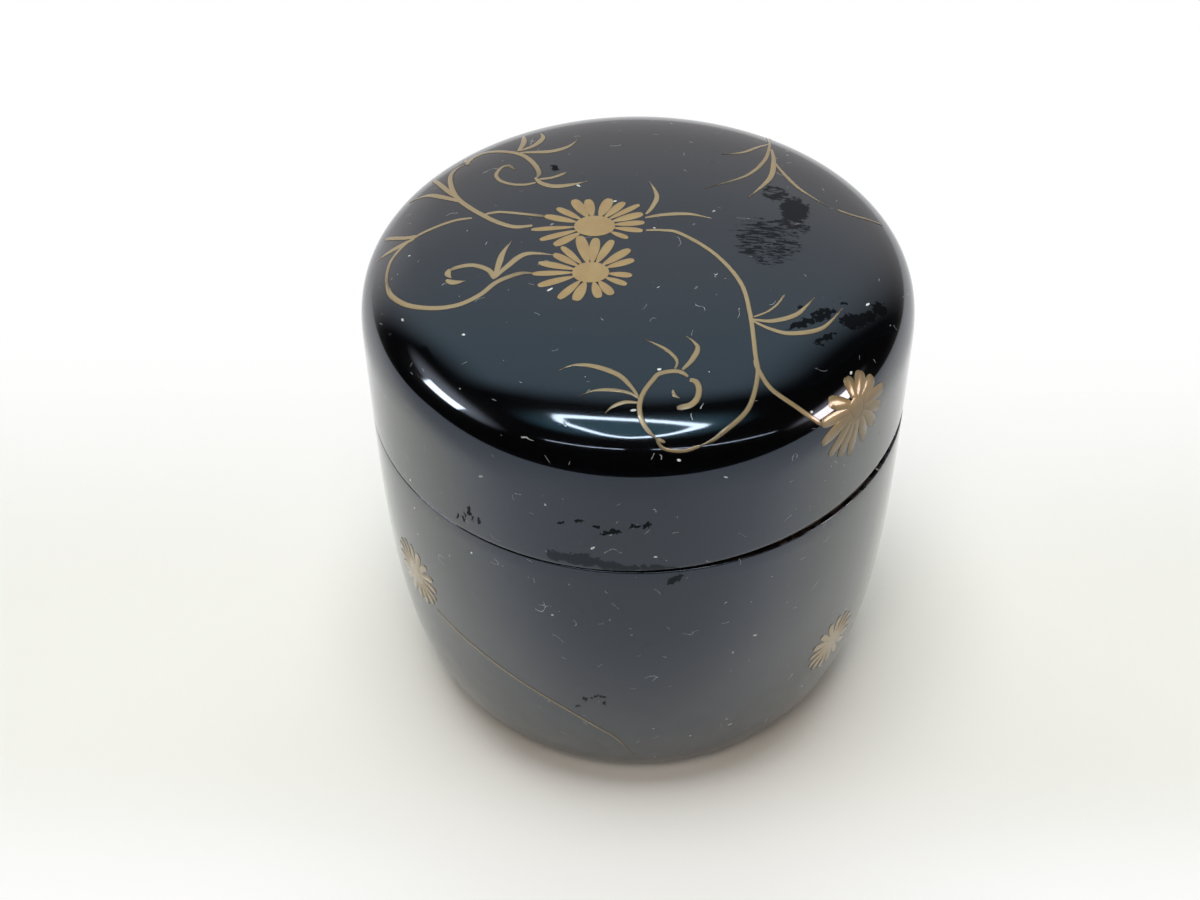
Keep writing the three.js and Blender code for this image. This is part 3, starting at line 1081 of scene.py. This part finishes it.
class TEABOX_OT_under_coats(bpy.types.Operator):
    """Finish the turned wood and the clay ground under the lacquer"""

    bl_idname = "teabox.under_coats"
    bl_label = "Wood and Ground"

    def execute(self, context):
        colours = context.scene.tea_box_colours
        ground = shared("clay_powder_ground", clay_ground, colours)
        wood = shared("sealed_wood", turned_wood, colours)
        for node, material in (("lid_ground_coat", ground), ("body_ground_coat", ground),
                               ("lid_core", wood), ("body_core", wood)):
            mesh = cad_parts[node].data
            mesh.materials.clear()
            mesh.materials.append(material)
        return {"FINISHED"}


class TEABOX_OT_lid_ornament(bpy.types.Operator):
    """Paint the gold chrysanthemums and vines on the lid"""

    bl_idname = "teabox.lid_ornament"
    bl_label = "Lid Ornament"

    def execute(self, context):
        place = lid_face(context.scene.tea_box_sizes).from_crown
        paint_ornament(context, place, "lid", LID_FLOWERS, LID_VINES)
        return {"FINISHED"}


class TEABOX_OT_body_ornament(bpy.types.Operator):
    """Paint the gold chrysanthemums and vines round the body"""

    bl_idname = "teabox.body_ornament"
    bl_label = "Body Ornament"

    def execute(self, context):
        place = body_face(context.scene.tea_box_sizes).from_front
        paint_ornament(context, place, "body", BODY_FLOWERS, BODY_VINES)
        return {"FINISHED"}


# Stage: the table, the backdrop behind it, a dim room round it, and the lamps
TABLE_HALF = 1.3
TABLE_FRONT = -0.27
BACKDROP_DEPTH = 0.6
BACKDROP_HALF = 1.3
BACKDROP_HEIGHT = 1.0
BACKDROP_BEND = 0.45
BACKDROP_STEPS = 24
BACKDROP_LIGHT = 1.13
ROOM_LOW = (-3.3, -2.6, -0.02)
ROOM_HIGH = (3.3, 1.2, 2.9)
WORLD_LIGHT = 0.02

# Heights of the mirrored lamps and of the glows above them, and the height on the box that they face
LAMP_HEIGHT = 1.07
RIGHT_LAMP_HEIGHT = 0.77
HALO_HEIGHT = 1.1
LAMP_AIM = 0.05

# The lamp over the table is a closed band: points of its line, each with the band's width
HOOP = (
    (-0.305, -0.10, 0.055), (-0.22, -0.08, 0.05), (-0.09, -0.075, 0.045), (0.04, -0.10, 0.045),
    (0.155, -0.155, 0.045), (0.24, -0.22, 0.05), (0.285, -0.265, 0.08), (0.26, -0.305, 0.07),
    (0.215, -0.36, 0.045), (0.11, -0.44, 0.045), (-0.03, -0.49, 0.045), (-0.11, -0.465, 0.045),
    (-0.175, -0.42, 0.045), (-0.265, -0.295, 0.045), (-0.325, -0.19, 0.05),
)
HOOP_LIGHT = 24.0
HOOP_SHADE = (0.97, 1.0, 0.98)

# Dim glows round the lamps, seen in the gloss alone: middle, half sizes, light and shade
HALOS = (
    ("halo_over_table", (-0.02, -0.28), (0.70, 0.33), 1.3, (0.42, 0.84, 0.90)),
    ("halo_left", (-1.62, -0.20), (0.62, 0.95), 2.0, (1.0, 0.97, 0.95)),
    ("halo_right", (2.62, -0.50), (0.95, 1.10), 2.0, (1.0, 0.86, 0.84)),
)

# Lamps: the middle of each end, the width, the light and its shade. Soft lamps light the table and the box;
# mirrored lamps show in the gloss alone
SOFT_LAMPS = (
    ("lamp_above", (-0.48, 0.0, 1.5), (0.32, 0.0, 1.5), 0.8, 8.7, (0.98, 1.0, 1.0)),
    ("lamp_front", (-0.6, -1.0, 1.5), (0.4, -1.0, 1.5), 0.5, 7.2, (1.0, 0.90, 0.80)),
)
MIRRORED_LAMPS = (
    ("lamp_left", (-1.55, -0.45, LAMP_HEIGHT), (-1.75, 0.12, LAMP_HEIGHT), 0.5, 24.0, (1.0, 0.98, 0.93)),
    ("lamp_right", (2.63, -1.0, RIGHT_LAMP_HEIGHT), (2.88, -0.05, RIGHT_LAMP_HEIGHT), 0.75, 24.0,
     (1.0, 0.80, 0.68)),
    ("lamp_far_left", (-0.75, -0.92, LAMP_HEIGHT), (-0.1, -1.0, LAMP_HEIGHT), 0.026, 12.0, WHITE),
    ("lamp_far_right", (0.12, -1.0, LAMP_HEIGHT), (1.6, -1.12, LAMP_HEIGHT), 0.026, 12.0, WHITE),
)

# The camera, in metres and in millimetres of lens and sensor
CAMERA_PLACE = (0.0, -0.1676, 0.196)
CAMERA_TARGET = (-0.00478, 0.0, 0.03323)
CAMERA_ROLL = math.radians(-0.98)
CAMERA_LENS = 54.0
CAMERA_SENSOR = 36.0


def stage_sheet(name, places, faces, material):
    """A sheet of the stage."""
    mesh = bpy.data.meshes.new(name)
    mesh.from_pydata(places, [], faces)
    mesh.materials.append(material)
    sheet = linked(name, mesh)
    return sheet


def gloss_sheet(name, places, faces, material):
    """A sheet of the stage that shows in the gloss alone."""
    sheet = stage_sheet(name, places, faces, material)
    sheet.visible_camera = False
    sheet.visible_diffuse = False
    sheet.visible_shadow = False


def seen_directly(finish):
    """1 where a ray from the camera, a gloss or a glass meets the surface."""
    seen = finish.node("ShaderNodeLightPath", output="Is Camera Ray")
    gloss = finish.node("ShaderNodeLightPath", output="Is Glossy Ray")
    glass = finish.node("ShaderNodeLightPath", output="Is Transmission Ray")
    return (seen + gloss + glass).least(1.0)


def table_paper(finish, colours):
    """Pale paper that keeps the shadow near the box and runs out to white."""
    place = finish.place()
    across = finish.axis(place, "X").size()
    back = finish.axis(place, "Y")
    behind = back.step(4.0, 62.0)
    ahead = back.step(-22.0, -54.0) * (0.5 + across.step(10.0, 58.0) * 0.5)
    far = finish.reach(place).step(115.0, 260.0)
    white = behind.most(ahead).most(far)
    paper = finish.node("ShaderNodeBsdfDiffuse", None, {"Color": colours.table})
    return finish.finish(finish.blend(white * seen_directly(finish), paper, finish.glow(WHITE, 1.0)))


def backdrop_paper(finish, colours):
    """White backdrop that fades out at its sides and its top, plain white to the camera."""
    place = finish.place()
    across = finish.axis(place, "X")
    high = finish.axis(place, "Z")
    fade = (across + 120.0).size().step(1120.0, 420.0) * finish.axis(place, "Y").step(120.0, 420.0)
    fade = fade * (0.62 + high.step(180.0, 620.0).most(across.step(-180.0, -480.0)) * 0.38)
    shade = finish.mix(high.step(100.0, 1300.0), colours.backdrop_low, colours.backdrop_high)
    shade = finish.mix(fade, colours.room, shade)
    seen = finish.node("ShaderNodeLightPath", output="Is Camera Ray")
    return finish.finish(finish.blend(seen, finish.glow(shade, BACKDROP_LIGHT), finish.glow(WHITE, 1.0)))


def bent_backdrop(material):
    """A sheet that stands behind the table and bends forward over it."""
    line = [(BACKDROP_DEPTH, 0.0), (BACKDROP_DEPTH, BACKDROP_HEIGHT)]
    for step in range(1, BACKDROP_STEPS + 1):
        angle = step / BACKDROP_STEPS * math.pi / 2
        line.append((
            BACKDROP_DEPTH - BACKDROP_BEND * (1 - math.cos(angle)),
            BACKDROP_HEIGHT + BACKDROP_BEND * math.sin(angle),
        ))
    places = [(side * BACKDROP_HALF, y, z) for y, z in line for side in (-1, 1)]
    faces = [(2 * step, 2 * step + 1, 2 * step + 3, 2 * step + 2) for step in range(len(line) - 1)]
    stage_sheet("backdrop", places, faces, material)


def dim_room(finish, colours):
    """Dull dark walls that the gloss mirrors."""
    return finish.finish(finish.node("ShaderNodeBsdfDiffuse", None, {"Color": colours.room}))


def closed_room(material):
    """Walls, a floor and a ceiling round the table."""
    places = list(itertools.product(*zip(ROOM_LOW, ROOM_HIGH)))
    faces = [(0, 1, 3, 2), (4, 6, 7, 5), (0, 4, 5, 1), (2, 3, 7, 6), (0, 2, 6, 4), (1, 5, 7, 3)]
    stage_sheet("room", places, faces, material).visible_camera = False


def lamp_glow(finish):
    """An even glow."""
    return finish.finish(finish.glow(HOOP_SHADE, HOOP_LIGHT))


def lamp_hoop(material):
    """The lamp over the table: a closed band."""
    line = smooth_line([*HOOP, HOOP[0]])[:-1]
    places = []
    for index, (x, y, wide) in enumerate(line):
        before = line[index - 1]
        after = line[(index + 1) % len(line)]
        way = Vector((after[0] - before[0], after[1] - before[1])).normalized()
        for side in (-0.5, 0.5):
            places.append((x - way.y * side * wide, y + way.x * side * wide, LAMP_HEIGHT))
    count = len(line)
    faces = []
    for step in range(count):
        follow = (step + 1) % count
        faces.append((2 * step, 2 * follow, 2 * follow + 1, 2 * step + 1))
    gloss_sheet("lamp_hoop", places, faces, material)


def lamp_halo(finish, middle, half, light, shade):
    """A dim glow that runs out to nothing."""
    offset = finish.vector("SUBTRACT", finish.place(), (middle[0] / MM, middle[1] / MM, HALO_HEIGHT / MM))
    local = finish.vector("DIVIDE", offset, (half[0] / MM, half[1] / MM, 1.0 / MM))
    glow = finish.mix(finish.reach(local).step(1.0, 0.35), BLACK, shade)
    return finish.finish(finish.glow(glow, light))


def halo_panel(name, middle, half, material):
    """The sheet above a lamp that carries its glow."""
    places = []
    for x, y in ((-1, -1), (1, -1), (1, 1), (-1, 1)):
        places.append((middle[0] + half[0] * x, middle[1] + half[1] * y, HALO_HEIGHT))
    gloss_sheet(name, places, [(0, 1, 2, 3)], material)


def strip_lamp(name, start, end, width, light, shade):
    """A long narrow lamp between two points, turned to the box."""
    start, end = Vector(start), Vector(end)
    data = bpy.data.lights.new(name, "AREA")
    data.shape = "RECTANGLE"
    data.size = (end - start).length
    data.size_y = width
    data.energy = light * math.pi * data.size * data.size_y
    data.color = shade
    middle = (start + end) / 2
    along = (end - start).normalized()
    back = (middle - Vector((0.0, 0.0, LAMP_AIM))).normalized()
    side = back.cross(along).normalized()
    back = along.cross(side)
    lamp = linked(name, data)
    lamp.matrix_world = Matrix.LocRotScale(middle, Matrix((along, side, back)).transposed(), None)
    lamp.visible_camera = False
    return lamp


def photo_camera():
    """The camera at the place and the turn that the picture was taken from."""
    data = bpy.data.cameras.new("camera")
    data.lens = CAMERA_LENS
    data.sensor_width = CAMERA_SENSOR
    place = Vector(CAMERA_PLACE)
    forward = (Vector(CAMERA_TARGET) - place).normalized()
    right = forward.cross(Vector((0.0, 0.0, 1.0))).normalized()
    up = right.cross(forward)
    cosine, sine = math.cos(CAMERA_ROLL), math.sin(CAMERA_ROLL)
    turned_right = right * cosine + up * sine
    turned_up = up * cosine - right * sine
    turn = Matrix((turned_right, turned_up, -forward)).transposed()
    camera = linked("camera", data)
    camera.matrix_world = Matrix.LocRotScale(place, turn, None)
    bpy.context.scene.camera = camera


def studio_world():
    """White to the camera and in the gloss, with next to no light of its own."""
    world = bpy.data.worlds.new("world")
    bpy.context.scene.world = world
    sky = Finish(world)
    glow = sky.node("ShaderNodeBackground", None, {"Color": WHITE, "Strength": 1.0})
    dim = sky.node("ShaderNodeBackground", None, {"Color": WHITE, "Strength": WORLD_LIGHT})
    sky.finish(sky.blend(seen_directly(sky), dim, glow), "ShaderNodeOutputWorld")


class TEABOX_OT_stage(bpy.types.Operator):
    """Set the pale table, the backdrop, the lamps and the camera"""

    bl_idname = "teabox.stage"
    bl_label = "Stage"

    def execute(self, context):
        colours = context.scene.tea_box_colours
        half, front, back = TABLE_HALF, TABLE_FRONT, BACKDROP_DEPTH
        corners = [(-half, front, 0), (half, front, 0), (half, back, 0), (-half, back, 0)]
        stage_sheet("table", corners, [(0, 1, 2, 3)], shared("table_paper", table_paper, colours))
        bent_backdrop(shared("backdrop_paper", backdrop_paper, colours))
        closed_room(shared("dim_room", dim_room, colours))
        lamp_hoop(shared("lamp_glow", lamp_glow))
        for name, middle, reach, light, shade in HALOS:
            halo_panel(name, middle, reach, shared(name, lamp_halo, middle, reach, light, shade))
        for lamp in SOFT_LAMPS:
            strip_lamp(*lamp).visible_glossy = False
        for lamp in MIRRORED_LAMPS:
            strip_lamp(*lamp).visible_diffuse = False
        studio_world()
        photo_camera()
        context.scene.view_settings.view_transform = "Standard"
        return {"FINISHED"}


OPERATORS = (
    TEABOX_OT_lid_lacquer,
    TEABOX_OT_body_lacquer,
    TEABOX_OT_linings,
    TEABOX_OT_under_coats,
    TEABOX_OT_lid_ornament,
    TEABOX_OT_body_ornament,
    TEABOX_OT_stage,
)


class TEABOX_PT_panel(bpy.types.Panel):
    """Lists the pieces of the tea box with their sizes and colours"""

    bl_idname = "TEABOX_PT_panel"
    bl_label = "Tea Box"
    bl_space_type = "VIEW_3D"
    bl_region_type = "UI"
    bl_category = "Tea Box"

    def draw(self, context):
        for operator in OPERATORS:
            self.layout.operator(operator.bl_idname)
        for group in (context.scene.tea_box_sizes, context.scene.tea_box_colours):
            column = self.layout.column()
            for name in group.__annotations__:
                column.prop(group, name)


CLASSES = (TeaBoxSizes, TeaBoxColours, *OPERATORS, TEABOX_PT_panel)


def register():
    for cls in CLASSES:
        bpy.utils.register_class(cls)
    bpy.types.Scene.tea_box_sizes = PointerProperty(type=TeaBoxSizes)
    bpy.types.Scene.tea_box_colours = PointerProperty(type=TeaBoxColours)


def unregister():
    del bpy.types.Scene.tea_box_colours
    del bpy.types.Scene.tea_box_sizes
    for cls in reversed(CLASSES):
        bpy.utils.unregister_class(cls)


def main():
    """Makes every piece in order."""
    register()
    bpy.ops.teabox.lid_lacquer()
    bpy.ops.teabox.body_lacquer()
    bpy.ops.teabox.linings()
    bpy.ops.teabox.under_coats()
    bpy.ops.teabox.lid_ornament()
    bpy.ops.teabox.body_ornament()
    bpy.ops.teabox.stage()


if __name__ == "__main__":
    main()
